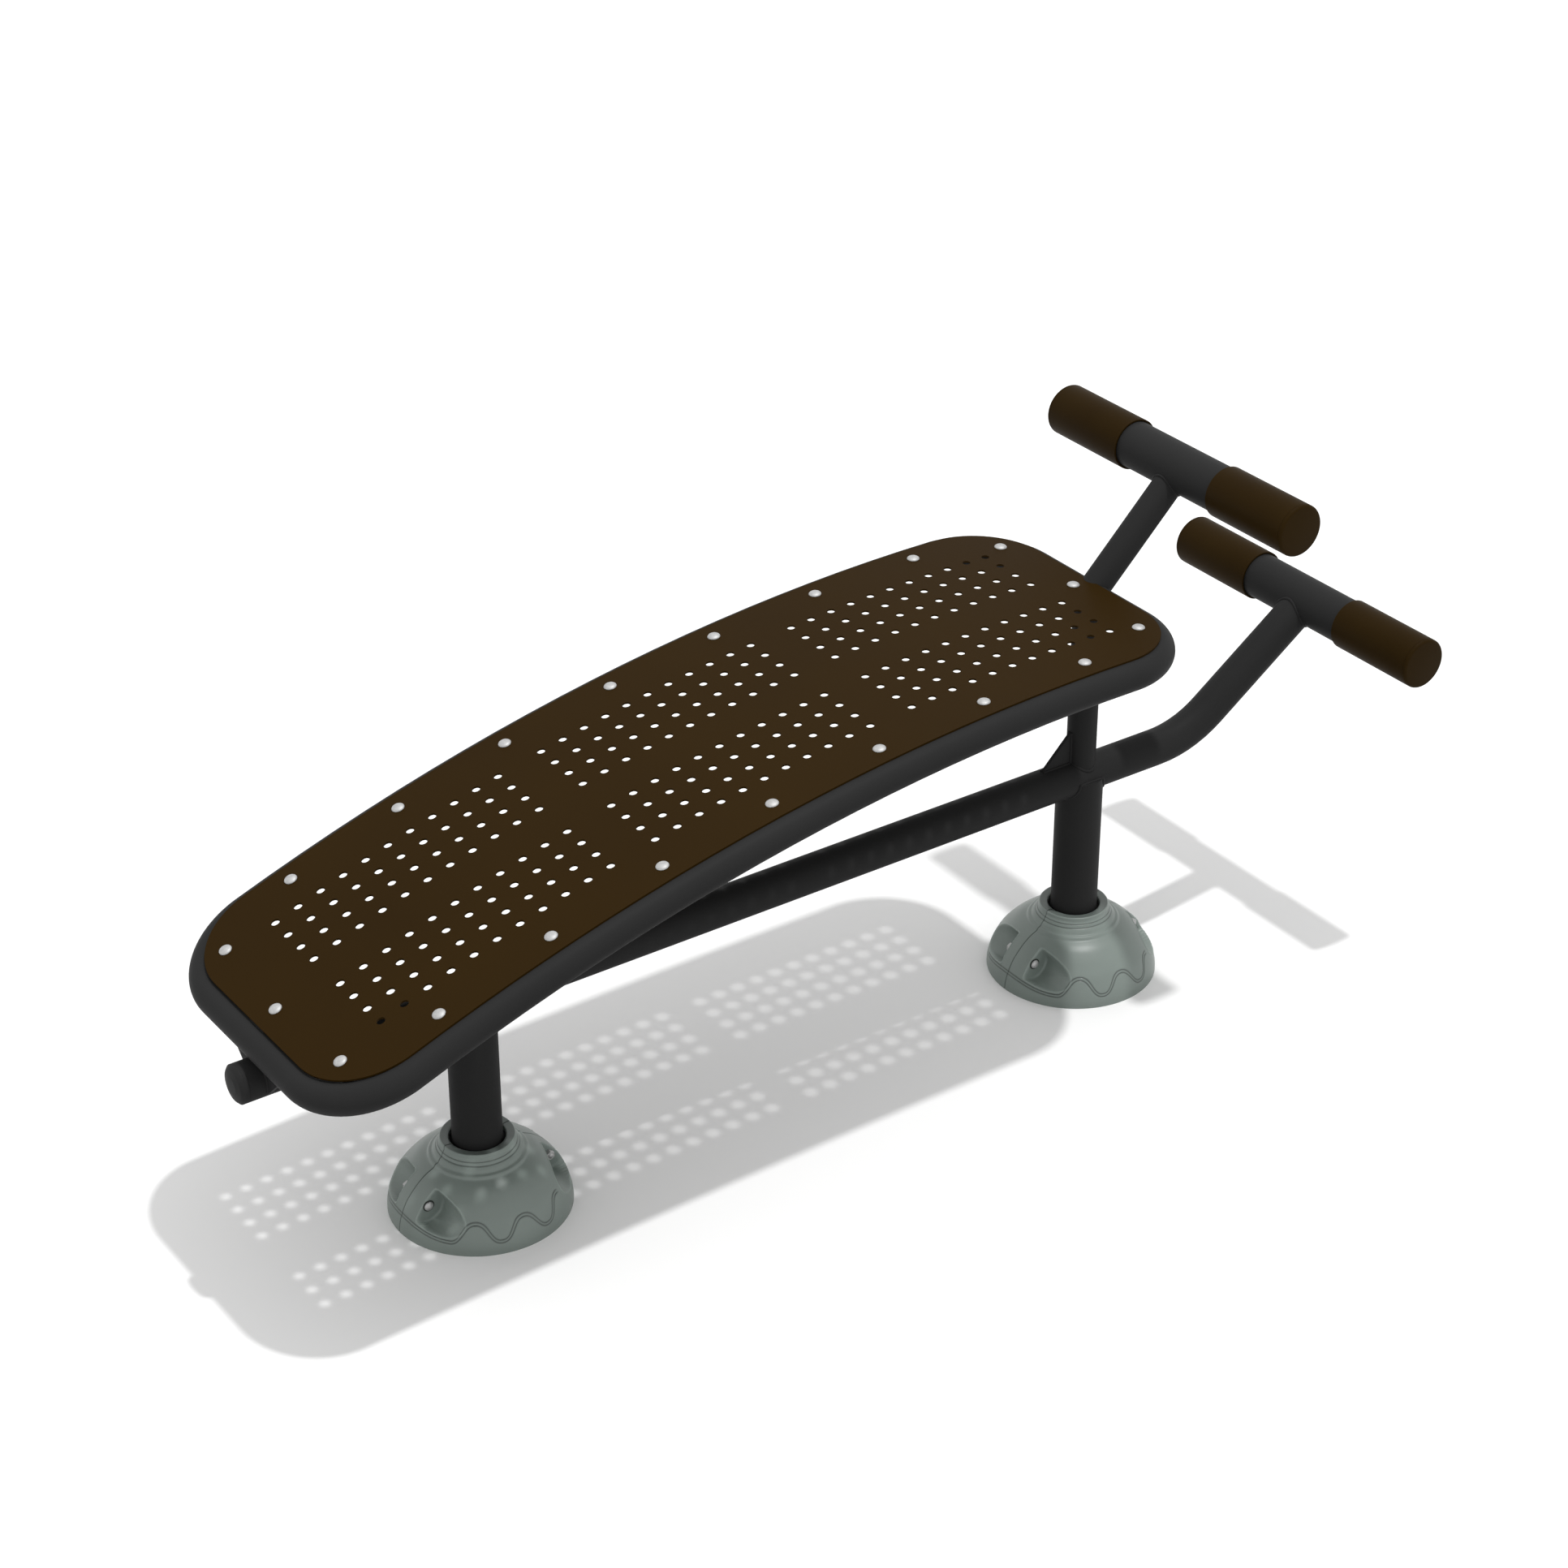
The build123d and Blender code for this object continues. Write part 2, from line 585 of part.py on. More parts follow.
for turn in (0, 180):
    spin = Rot(0, 0, turn)
    shank_end = pocket_nut_y + cover_nut_height + cover_bolt_spare
    seat_point = (-cover_bolt_x, -pocket_head_y, cover_bolt_z)
    shank = rod(seat_point, (-cover_bolt_x, shank_end, cover_bolt_z), cover_bolt_r)
    head_start = (-cover_bolt_x, -pocket_head_y - cover_head_height, cover_bolt_z)
    head = rod(head_start, seat_point, cover_head_r)
    cover_bolts.append(spin * (head + shank))
    nut_seat = Plane(origin=(-cover_bolt_x, pocket_nut_y, cover_bolt_z), z_dir=(0, 1, 0))
    nut_bore_end = (-cover_bolt_x, pocket_nut_y + cover_nut_height, cover_bolt_z)
    nut = hexagon(nut_seat, cover_nut_across, cover_nut_height)
    nut -= rod((-cover_bolt_x, pocket_nut_y, cover_bolt_z), nut_bore_end, cover_bolt_r + thread_gap)
    cover_nuts.append(spin * nut)
seal_top = cover_height - seal_top_drop
seal = Cylinder(cover_bore_r - seal_gap, seal_height) - Cylinder(post_r + seal_gap, seal_height)
for side, post_x in (("rear", rear_post_x), ("front", front_post_x)):
    at = Pos(post_x, 0, 0)
    save(f"{side}_cover_right_half", at * half)
    save(f"{side}_cover_left_half", at * Rot(0, 0, 180) * half)
    save(f"{side}_cover_bolts", *[at * piece for piece in cover_bolts])
    save(f"{side}_cover_nuts", *[at * piece for piece in cover_nuts])
    save(f"{side}_collar_seal", at * Pos(0, 0, seal_top - seal_height / 2) * seal)

print("overall length", round(overall_length, 2), "rear post x", round(rear_post_x, 2))
print("front post x", round(front_post_x, 2), "lower bar", lower_bar, "upper bar", upper_bar)
print("low end", low_end, "high end", high_end, "arc centre", arc_x, arc_z)
print("mid angle", math.degrees(mid_angle), "bolts", len(bolt_places), "holes", len(drills))
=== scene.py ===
import json
import math

import bmesh
import bpy
import numpy as np
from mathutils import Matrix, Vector


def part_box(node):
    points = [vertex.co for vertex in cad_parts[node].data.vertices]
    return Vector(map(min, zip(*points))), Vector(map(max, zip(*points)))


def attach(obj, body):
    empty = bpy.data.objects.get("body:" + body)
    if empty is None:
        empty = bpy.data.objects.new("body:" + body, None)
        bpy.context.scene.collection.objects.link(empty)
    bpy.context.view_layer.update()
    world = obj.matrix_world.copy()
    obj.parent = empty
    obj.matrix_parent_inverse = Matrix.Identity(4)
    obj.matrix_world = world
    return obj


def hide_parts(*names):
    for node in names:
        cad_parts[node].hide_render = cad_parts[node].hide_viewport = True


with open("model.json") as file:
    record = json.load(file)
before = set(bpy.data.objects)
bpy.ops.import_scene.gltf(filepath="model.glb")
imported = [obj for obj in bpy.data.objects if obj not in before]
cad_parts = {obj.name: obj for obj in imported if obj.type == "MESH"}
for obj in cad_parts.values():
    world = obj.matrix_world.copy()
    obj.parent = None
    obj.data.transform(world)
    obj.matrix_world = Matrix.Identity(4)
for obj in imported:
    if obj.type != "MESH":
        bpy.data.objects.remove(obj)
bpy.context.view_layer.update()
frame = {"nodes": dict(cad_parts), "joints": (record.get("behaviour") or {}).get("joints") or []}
nodes = frame["nodes"]

# The view. A long lens looks down at 30 degrees from behind the low end and the right side. The picture is
# square, so the lens is given for a sensor 36 mm each way.
view_place = Vector((-2.6478, -3.6754, 3.1258))
view_back = Vector((-0.4967, -0.7094, 0.5))
lens_mm, sensor_mm = 79.15, 36.0
far_limit = 200.0
camera_data = bpy.data.cameras.new("view")
camera_data.lens = lens_mm
camera_data.sensor_width = sensor_mm
camera_data.clip_end = far_limit
camera = bpy.data.objects.new("view", camera_data)
camera.location = view_place
camera.rotation_euler = view_back.to_track_quat("Z", "Y").to_euler()
bpy.context.scene.collection.objects.link(camera)
bpy.context.scene.camera = camera
bpy.context.scene.view_settings.view_transform = "Standard"


# The studio. A white floor runs out of the picture on every side under an even white sky, and one small high
# lamp throws the soft-edged shadow that the perforations dot with light.
class Signal:
    """A value in a finish's node tree; arithmetic on it adds Math nodes."""

    def __init__(self, tree, socket):
        self.tree = tree
        self.socket = socket

    def math(self, operation, other=0.0, swapped=False):
        node = self.tree.nodes.new("ShaderNodeMath")
        node.operation = operation
        terms = (other, self) if swapped else (self, other)
        for socket, term in zip(node.inputs, terms):
            if isinstance(term, Signal):
                self.tree.links.new(term.socket, socket)
            else:
                socket.default_value = term
        return Signal(self.tree, node.outputs[0])

    def __add__(self, other):
        return self.math("ADD", other)

    def __sub__(self, other):
        return self.math("SUBTRACT", other)

    def __rsub__(self, other):
        return self.math("SUBTRACT", other, swapped=True)

    def __mul__(self, other):
        return self.math("MULTIPLY", other)

    def clamped(self):
        return self.math("MAXIMUM", 0.0).math("MINIMUM", 1.0)

    def spread(self, width):
        """A value that runs from zero to one, moved to lie about zero and widened."""
        return (self - 0.5) * width

    def twin(self, name):
        """Another output of the node that this value comes from."""
        return Signal(self.tree, self.socket.node.outputs[name])


class Finish:
    """The node tree of a material or of the sky, as it is filled."""

    def __init__(self, owner):
        owner.use_nodes = True
        self.owner = owner
        self.tree = owner.node_tree
        self.tree.nodes.clear()

    def node(self, kind, settings=(), inputs=(), output=0):
        """Adds a node: its settings first, then the values or links of its sockets."""
        node = self.tree.nodes.new(kind)
        for name, value in dict(settings).items():
            setattr(node, name, value)
        for name, value in dict(inputs).items():
            socket = node.inputs[name]
            if isinstance(value, Signal):
                self.tree.links.new(value.socket, socket)
            elif socket.type == "RGBA":
                socket.default_value = (*value, 1.0)
            else:
                socket.default_value = value
        return Signal(self.tree, node.outputs[output])

    def blend(self, factor, low, high):
        """Colour between two colours, from the Mix node's colour sockets."""
        return self.node("ShaderNodeMix", {"data_type": "RGBA"}, {0: factor, 6: low, 7: high}, 2)

    def noise(self, place, scale, detail=2.0, roughness=0.5):
        """Smooth random value about one half."""
        inputs = {"Vector": place, "Scale": scale, "Detail": detail, "Roughness": roughness}
        return self.node("ShaderNodeTexNoise", {}, inputs)

    def watched(self):
        """One for light on its way to the camera, straight or by a shiny or clear surface, and else zero."""
        rays = self.node("ShaderNodeLightPath")
        return (rays + rays.twin("Is Glossy Ray") + rays.twin("Is Transmission Ray")).clamped()

    def closed(self, shader, output="ShaderNodeOutputMaterial"):
        """Joins the shader to the output and gives the owner back."""
        end = self.tree.nodes.new(output)
        self.tree.links.new(shader.socket, end.inputs["Surface"])
        return self.owner


sky_strength = 0.8
sky_foot, sky_lift = 0.7, 0.45
lamp_strength = 1.5
lamp_width_degrees = 1.8
lamp_place = Vector((6.96, -6.25, 44.71))
floor_half = 18.0
floor_glow = 0.02
floor_seen, floor_bounce = (0.97, 0.97, 0.967), (0.6, 0.6, 0.6)

sky = Finish(bpy.data.worlds.new("sky"))
seen = sky.watched()
direction = sky.node("ShaderNodeTexCoord", output="Generated")
upwards = sky.node("ShaderNodeSeparateXYZ", {}, {"Vector": direction}, "Z")
overcast = (upwards * sky_lift + sky_foot) * sky_strength
sky_level = seen + (1.0 - seen) * overcast
sky_light = sky.node("ShaderNodeBackground", {}, {"Color": (1.0, 1.0, 1.0), "Strength": sky_level})
bpy.context.scene.world = sky.closed(sky_light, "ShaderNodeOutputWorld")

lamp_data = bpy.data.lights.new("lamp", "POINT")
lamp_data.energy = lamp_strength * 4 * math.pi * lamp_place.length_squared
lamp_data.shadow_soft_size = lamp_place.length * math.tan(math.radians(lamp_width_degrees / 2))
lamp = bpy.data.objects.new("lamp", lamp_data)
lamp.location = lamp_place
bpy.context.scene.collection.objects.link(lamp)

floor_mesh = bpy.data.meshes.new("studio_floor")
floor_corners = [(x * floor_half, y * floor_half, 0.0) for x, y in ((-1, -1), (1, -1), (1, 1), (-1, 1))]
floor_mesh.from_pydata(floor_corners, [], [(0, 1, 2, 3)])
floor = bpy.data.objects.new("studio_floor", floor_mesh)
bpy.context.scene.collection.objects.link(floor)
floor_white = Finish(bpy.data.materials.new("floor_white"))
seen = floor_white.watched()
floor_colour = floor_white.blend(seen, floor_bounce, floor_seen)
matt = floor_white.node("ShaderNodeBsdfDiffuse", {}, {"Color": floor_colour})
glow = floor_white.node("ShaderNodeEmission", {}, {"Strength": seen * floor_glow})
glowing_matt = floor_white.node("ShaderNodeAddShader", {}, {0: matt, 1: glow})
floor_mesh.materials.append(floor_white.closed(glowing_matt))


# The welded frame. Round steel tube, bent and coped, welded up and then powder coated charcoal as one piece.
# The coat is satin, so it brightens only where it is seen edge on.
mm = 0.001
satin_ior = 1.1


def shade(red, green, blue):
    """Colour as a screen shows it, from 0 to 255, made linear."""
    parts = (value / 255 for value in (red, green, blue))
    return tuple(part / 12.92 if part < 0.04045 else ((part + 0.055) / 1.055) ** 2.4 for part in parts)


def powder_coat(name, deep, bright, roughness):
    """Baked powder paint: a slow drift of tone, fine flecks and a faint orange peel."""
    coat = Finish(bpy.data.materials.new(name))
    place = coat.node("ShaderNodeTexCoord", output="Object")
    drift = coat.noise(place, scale=3.0, detail=3.0)
    fleck = coat.noise(place, scale=850.0, roughness=0.7)
    peel = coat.noise(place, scale=430.0, detail=1.0)
    tone = (drift.spread(1.3) + fleck.spread(0.9) + 0.5).clamped()
    bump = coat.node("ShaderNodeBump", {}, {"Strength": 0.3, "Distance": 0.25 * mm, "Height": peel})
    inputs = {
        "Base Color": coat.blend(tone, deep, bright),
        "Roughness": fleck.spread(0.18) + drift.spread(0.12) + roughness,
        "IOR": satin_ior,
        "Normal": bump,
    }
    return coat.closed(coat.node("ShaderNodeBsdfPrincipled", {}, inputs))


def dress(material, *names):
    """Gives CAD nodes their finish."""
    for name in names:
        for place in nodes[name].material_slots:
            place.material = material


charcoal = powder_coat("charcoal_powder_coat", shade(41, 41, 41), shade(49, 49, 49), roughness=0.5)
dress(charcoal, "spine_tube", "rear_post", "front_post", "rear_post_cradle", "front_post_cradle")
dress(charcoal, "front_upper_post", "front_gusset", "rear_saddle_plate", "upper_arm")
dress(charcoal, "left_side_rail", "right_side_rail", "low_end_hoop", "high_end_hoop", "deck_tabs")
dress(charcoal, "upper_cross_bar", "lower_cross_bar", "upper_bar_end_plates", "lower_bar_end_plates")


# The welds. Each joint of the frame has one bead laid round it by hand, so it ripples a little, and the coat
# over it softens the corner.
def measured(name):
    """Lowest and highest corner of a CAD node, in millimetres."""
    return [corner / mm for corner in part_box(name)]


rear_low, rear_high = measured("rear_post")
front_low, front_high = measured("front_post")
rear_x, front_x = (rear_low.x + rear_high.x) / 2, (front_low.x + front_high.x) / 2
post_r, spine_z = rear_high.y, rear_high.z
spine_r = spine_z - measured("spine_tube")[0].z
rim_r = measured("upper_arm")[1].y
bar_r = post_r
roller_places = {joint["child"]: joint["pos_m"] for joint in frame["joints"]}
upper_bar, lower_bar = (
    Vector((roller_places[body][0], 0.0, roller_places[body][2])) / mm
    for body in ("upper_left_roller", "lower_left_roller")
)
high_end = Vector((front_x, 0.0, 682.5))
low_end = Vector((-969.011, 0.0, 417.243))
upper_rise, lower_rise = math.radians(45.0), math.radians(35.4)
run_up = 120.0
foot_clear_x, foot_clear_y, foot_clear_z = 9.0, 0.5, 18.0
saddle_wrap, saddle_flare, saddle_points = math.radians(112.0), math.radians(45.0), 60
bead_r, bead_sides, bead_spacing = 2.5, 10, 1.0
bead_step, bead_ripple = 4.2, 0.03


def meeting_line(start, way, radius, mate_point, mate_way, mate_radius, turns=96):
    """Line on which a round bar that runs from start along way first meets another round bar."""
    start, way, mate_point, mate_way = (np.array(item, float) for item in (start, way, mate_point, mate_way))
    across = np.cross(way, mate_way)
    across /= np.linalg.norm(across)
    up = np.cross(across, way)
    turn = np.linspace(0, 2 * math.pi, turns, endpoint=False)[:, None]
    rim = start + radius * (np.cos(turn) * across + np.sin(turn) * up)
    gap = rim - mate_point
    gap -= (gap @ mate_way)[:, None] * mate_way
    step = way - (way @ mate_way) * mate_way
    a, b, c = step @ step, gap @ step, (gap * gap).sum(1) - mate_radius**2
    reach = (-b - np.sqrt(np.maximum(b * b - a * c, 0))) / a
    return rim + reach[:, None] * way


def post_line(post_x):
    """Loop on which a wide post meets the spine that lies in its cut top."""
    turn = np.linspace(-math.pi / 2, math.pi / 2, 25)
    y = spine_r * np.sin(turn)
    front = np.stack([post_x + np.sqrt(post_r**2 - y**2), y, spine_z - spine_r * np.cos(turn)], 1)
    back = np.stack([2 * post_x - front[:, 0], y, front[:, 2]], 1)[::-1]
    return np.concatenate([front, back])


along_x, across_y, up_z = Vector((1.0, 0.0, 0.0)), Vector((0.0, 1.0, 0.0)), Vector((0.0, 0.0, 1.0))
arm_way = Vector((math.cos(upper_rise), 0.0, math.sin(upper_rise)))
spine_way = Vector((math.cos(lower_rise), 0.0, math.sin(lower_rise)))
spine_place = Vector((front_x, 0.0, spine_z))
upper_post_middle = (spine_place + high_end) / 2
arm_start, spine_start = high_end + arm_way * run_up, lower_bar - spine_way * run_up
closed_beads = [
    post_line(rear_x),
    post_line(front_x),
    meeting_line(upper_post_middle, -up_z, rim_r, spine_place, along_x, spine_r),
    meeting_line(upper_post_middle, up_z, rim_r, high_end, across_y, rim_r),
    meeting_line(arm_start, arm_way, rim_r, upper_bar, across_y, bar_r),
    meeting_line(spine_start, spine_way, spine_r, lower_bar, across_y, bar_r),
]
arm_foot = meeting_line(arm_start, -arm_way, rim_r, high_end, across_y, rim_r, turns=160)
welded = (arm_foot[:, 0] > high_end.x + foot_clear_x) & (arm_foot[:, 2] < high_end.z + foot_clear_z)
arm_foot = arm_foot[welded]
open_beads = []
for side in (-1, 1):
    arc = arm_foot[side * arm_foot[:, 1] > foot_clear_y]
    open_beads.append(arc[np.argsort(arc[:, 2])])
gusset_low, gusset_high = measured("front_gusset")
for y in (gusset_low.y, gusset_high.y):
    foot_z = spine_z + math.sqrt(spine_r**2 - y**2)
    back_x = front_x - math.sqrt(rim_r**2 - y**2)
    open_beads.append(np.array([(gusset_low.x, y, foot_z), (back_x, y, foot_z)]))
    open_beads.append(np.array([(back_x, y, foot_z), (back_x, y, gusset_high.z)]))
for face in measured("rear_saddle_plate"):
    turn = np.linspace(-saddle_wrap, saddle_wrap, saddle_points)
    ring_x = np.full(saddle_points, face.x)
    open_beads.append(np.stack([ring_x, spine_r * np.sin(turn), spine_z + spine_r * np.cos(turn)], 1))
    top = low_end.z - math.sqrt(rim_r**2 - (face.x - low_end.x) ** 2)
    half = top - spine_z + spine_r * (math.cos(saddle_flare) + math.sin(saddle_flare))
    open_beads.append(np.array([(face.x, -half, top), (face.x, half, top)]))

bead_points, bead_edges = [], []
for number, line in enumerate(closed_beads + open_beads):
    first, count = len(bead_points), len(line)
    bead_points.extend(map(tuple, line * mm))
    bead_edges.extend((first + i, first + i + 1) for i in range(count - 1))
    if number < len(closed_beads):
        bead_edges.append((first + count - 1, first))


def grown(name, mesh, build, sizes, material):
    """Runs a Geometry Nodes tree on a mesh and keeps the result as a plain mesh."""
    tree = bpy.data.node_groups.new(name, "GeometryNodeTree")
    tree.interface.new_socket("Geometry", in_out="INPUT", socket_type="NodeSocketGeometry")
    tree.interface.new_socket("Geometry", in_out="OUTPUT", socket_type="NodeSocketGeometry")
    for size, value in sizes.items():
        kind = "NodeSocketInt" if isinstance(value, int) else "NodeSocketFloat"
        tree.interface.new_socket(size, in_out="INPUT", socket_type=kind)
    start = tree.nodes.new("NodeGroupInput")
    end = tree.nodes.new("NodeGroupOutput")

    def join(value, socket):
        if isinstance(value, bpy.types.NodeSocket):
            tree.links.new(value, socket)
        else:
            socket.default_value = value

    def add(kind, settings=(), inputs=(), output=0):
        node = tree.nodes.new(kind)
        for key, value in dict(settings).items():
            setattr(node, key, value)
        for key, value in dict(inputs).items():
            join(value, node.inputs[key])
        return node.outputs[output]

    shape = build(add, start.outputs)
    shape = add("GeometryNodeRealizeInstances", {}, {0: shape})
    shape = add("GeometryNodeSetShadeSmooth", {}, {0: shape})
    shape = add("GeometryNodeSetMaterial", {}, {0: shape, "Material": material})
    tree.links.new(shape, end.inputs[0])
    carrier = bpy.data.objects.new(name, mesh)
    bpy.context.scene.collection.objects.link(carrier)
    modifier = carrier.modifiers.new(name, "NODES")
    modifier.node_group = tree
    for item in tree.interface.items_tree:
        if item.in_out == "INPUT" and item.name in sizes:
            modifier[item.identifier] = sizes[item.name]
    graph = bpy.context.evaluated_depsgraph_get()
    plain = bpy.data.meshes.new_from_object(carrier.evaluated_get(graph), depsgraph=graph)
    carrier.modifiers.clear()
    carrier.data = plain
    return carrier


def bead(add, sizes):
    """Sweeps a round bead along the lines, swelling and thinning at each step of the torch."""
    lines = add("GeometryNodeMeshToCurve", {}, {0: sizes[0]})
    lines = add("GeometryNodeResampleCurve", {"mode": "LENGTH"}, {0: lines, "Length": sizes["Spacing"]})
    along = add("GeometryNodeSplineParameter", output="Length")
    phase = add("ShaderNodeMath", {"operation": "DIVIDE"}, {0: along, 1: sizes["Step"]})
    wave = add("ShaderNodeMath", {"operation": "FRACT"}, {0: phase})
    wave = add("ShaderNodeMath", {"operation": "MULTIPLY_ADD"}, {0: wave, 1: sizes["Ripple"], 2: 1.0})
    ring_sizes = {"Resolution": sizes["Sides"], "Radius": sizes["Radius"]}
    ring = add("GeometryNodeCurvePrimitiveCircle", {}, ring_sizes)
    return add("GeometryNodeCurveToMesh", {}, {0: lines, 1: ring, "Scale": wave, "Fill Caps": True})


bead_mesh = bpy.data.meshes.new("weld_lines")
bead_mesh.from_pydata(bead_points, bead_edges, [])
bead_sizes = {
    "Radius": bead_r * mm,
    "Sides": bead_sides,
    "Spacing": bead_spacing * mm,
    "Step": bead_step * mm,
    "Ripple": bead_ripple,
}
welds = grown("weld_beads", bead_mesh, bead, bead_sizes, charcoal)
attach(welds, "bench")

# The deck. One sheet of 3 mm steel, drilled and rolled to a gentle arch, and powder coated bronze brown
# before it is bolted to the tabs inside the rim.
bronze = powder_coat("bronze_powder_coat", shade(41, 27, 5), shade(48, 33, 7), roughness=0.5)
dress(bronze, "deck_plate")


# The deck bolts. Domed zinc-plated heads stand on the deck, and plain shanks run through the tabs to washers
# and nuts underneath.
def zinc(name, low, high, roughness):
    """Plated steel with the soft cloudiness of a barrel-plated part."""
    coat = Finish(bpy.data.materials.new(name))
    place = coat.node("ShaderNodeTexCoord", output="Object")
    cloud = coat.noise(place, scale=260.0, detail=3.0, roughness=0.6)
    grain = coat.noise(place, scale=2400.0, detail=1.0)
    tone = (cloud.spread(1.8) + grain.spread(0.7) + 0.5).clamped()
    bump = coat.node("ShaderNodeBump", {}, {"Strength": 0.12, "Distance": 0.1 * mm, "Height": grain})
    inputs = {
        "Base Color": coat.blend(tone, low, high),
        "Metallic": 0.7,
        "Roughness": cloud.spread(0.2) + roughness,
        "Normal": bump,
    }
    return coat.closed(coat.node("ShaderNodeBsdfPrincipled", {}, inputs))


bright_zinc = zinc("bright_zinc", shade(174, 174, 174), shade(198, 198, 197), roughness=0.58)
dress(bright_zinc, "deck_washers", "deck_nuts", "roller_spacers", "roller_washers", "roller_bolts")

deck_centre_x, deck_centre_z = 355.4186, -2712.7805
deck_middle = math.radians(-10.0812)
deck_r, head_seat_r, shank_end_r = 3426.0, 3426.15, 3404.3
head_r, head_height, shank_r = 10.0, 4.4, 5.0
bolt_pitch, side_bolt_y = 190.4, 213.2
corner_bolt_run, corner_bolt_y = 712.0, 169.6
end_bolt_run = 722.6


def bolt_places(name, seats):
    """Mesh with a point at each seat, which also holds the way that its bolt's head looks."""
    mesh = bpy.data.meshes.new(name)
    mesh.from_pydata([place * mm for place, way in seats], [], [])
    ways = [part for place, way in seats for part in way]
    mesh.attributes.new("outwards", "FLOAT_VECTOR", "POINT").data.foreach_set("vector", ways)
    return mesh


runs_along = [(step * bolt_pitch, side * side_bolt_y) for step in range(-3, 4) for side in (-1, 1)]
runs_along += [(way * corner_bolt_run, side * corner_bolt_y) for way in (-1, 1) for side in (-1, 1)]
runs_along += [(way * end_bolt_run, 0.0) for way in (-1, 1)]
deck_seats = []
for run, y in runs_along:
    angle = deck_middle + run / deck_r
    outwards = Vector((math.sin(angle), 0.0, math.cos(angle)))
    deck_seats.append((Vector((deck_centre_x, y, deck_centre_z)) + outwards * head_seat_r, outwards))


def tree_join(add, *shapes):
    """Several shapes as one."""
    joined = add("GeometryNodeJoinGeometry")
    tree = joined.node.id_data
    for shape in shapes:
        tree.links.new(shape, joined.node.inputs[0])
    return joined


def domed_bolts(add, sizes):
    """A low dome on a plain shank at each place, square to the deck."""
    ball = add("GeometryNodeMeshUVSphere", {}, {"Segments": 40, "Rings": 24, "Radius": sizes["Head radius"]})
    place = add("GeometryNodeInputPosition")
    parts = add("ShaderNodeSeparateXYZ", {}, {0: place})
    xyz = parts.node.outputs
    lifted = add("ShaderNodeMath", {"operation": "MAXIMUM"}, {0: xyz[2], 1: 0.0})
    flat = add("ShaderNodeMath", {"operation": "DIVIDE"}, {0: sizes["Head height"], 1: sizes["Head radius"]})
    low = add("ShaderNodeMath", {"operation": "MULTIPLY"}, {0: lifted, 1: flat})
    moved = add("ShaderNodeCombineXYZ", {}, {0: xyz[0], 1: xyz[1], 2: low})
    head = add("GeometryNodeSetPosition", {}, {0: ball, "Position": moved})
    shank_sizes = {"Vertices": 24, "Radius": sizes["Shank radius"], "Depth": sizes["Shank length"]}
    shank = add("GeometryNodeMeshCylinder", {}, shank_sizes)
    drop = add("ShaderNodeMath", {"operation": "MULTIPLY"}, {0: sizes["Shank length"], 1: -0.5})
    shift = add("ShaderNodeCombineXYZ", {}, {2: drop})
    shank = add("GeometryNodeTransform", {}, {0: shank, "Translation": shift})
    bolt = tree_join(add, head, shank)
    outwards = add("GeometryNodeInputNamedAttribute", {"data_type": "FLOAT_VECTOR"}, {"Name": "outwards"})
    turned = add("FunctionNodeAlignRotationToVector", {"axis": "Z"}, {"Vector": outwards})
    return add("GeometryNodeInstanceOnPoints", {}, {0: sizes[0], "Instance": bolt, "Rotation": turned})


bolt_sizes = {
    "Head radius": head_r * mm,
    "Head height": head_height * mm,
    "Shank radius": shank_r * mm,
    "Shank length": (head_seat_r - shank_end_r) * mm,
}
deck_bolt_places = bolt_places("deck_bolt_places", deck_seats)
deck_bolts = grown("deck_bolt_set", deck_bolt_places, domed_bolts, bolt_sizes, bright_zinc)
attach(deck_bolts, "bench")
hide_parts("deck_bolts")


# The rollers. Moulded brown plastic sleeves that turn on the cross bars, each closed at its outer end by a
# slightly domed cap whose edge shows as a fine seam.
def rounded(corners, steps=6):
    """Closed outline of points, from corners that are given as (radius, along, rounding)."""
    points = []
    for i, (*corner, rounding) in enumerate(corners):
        corner = Vector(corner)
        if rounding == 0:
            points.append(corner)
            continue
        before, after = (Vector(corners[k % len(corners)][:2]) for k in (i - 1, i + 1))
        back, forth = (before - corner).normalized(), (after - corner).normalized()
        half = back.angle(forth) / 2
        reach = rounding / math.tan(half)
        middle = corner + (back + forth).normalized() * rounding / math.sin(half)
        start = (corner + back * reach - middle).normalized()
        end = (corner + forth * reach - middle).normalized()
        points.extend(middle + start.slerp(end, step / steps) * rounding for step in range(steps + 1))
    return points


def finished(name, mesh, material, sharp_degrees=38.0):
    """Merges doubles, turns the faces outwards, smooths them and shows the piece."""
    shape = bmesh.new()
    shape.from_mesh(mesh)
    bmesh.ops.remove_doubles(shape, verts=shape.verts, dist=0.001 * mm)
    bmesh.ops.recalc_face_normals(shape, faces=shape.faces)
    shape.to_mesh(mesh)
    shape.free()
    mesh.shade_smooth()
    mesh.set_sharp_from_angle(angle=math.radians(sharp_degrees))
    mesh.materials.append(material)
    piece = bpy.data.objects.new(name, mesh)
    bpy.context.scene.collection.objects.link(piece)
    return piece


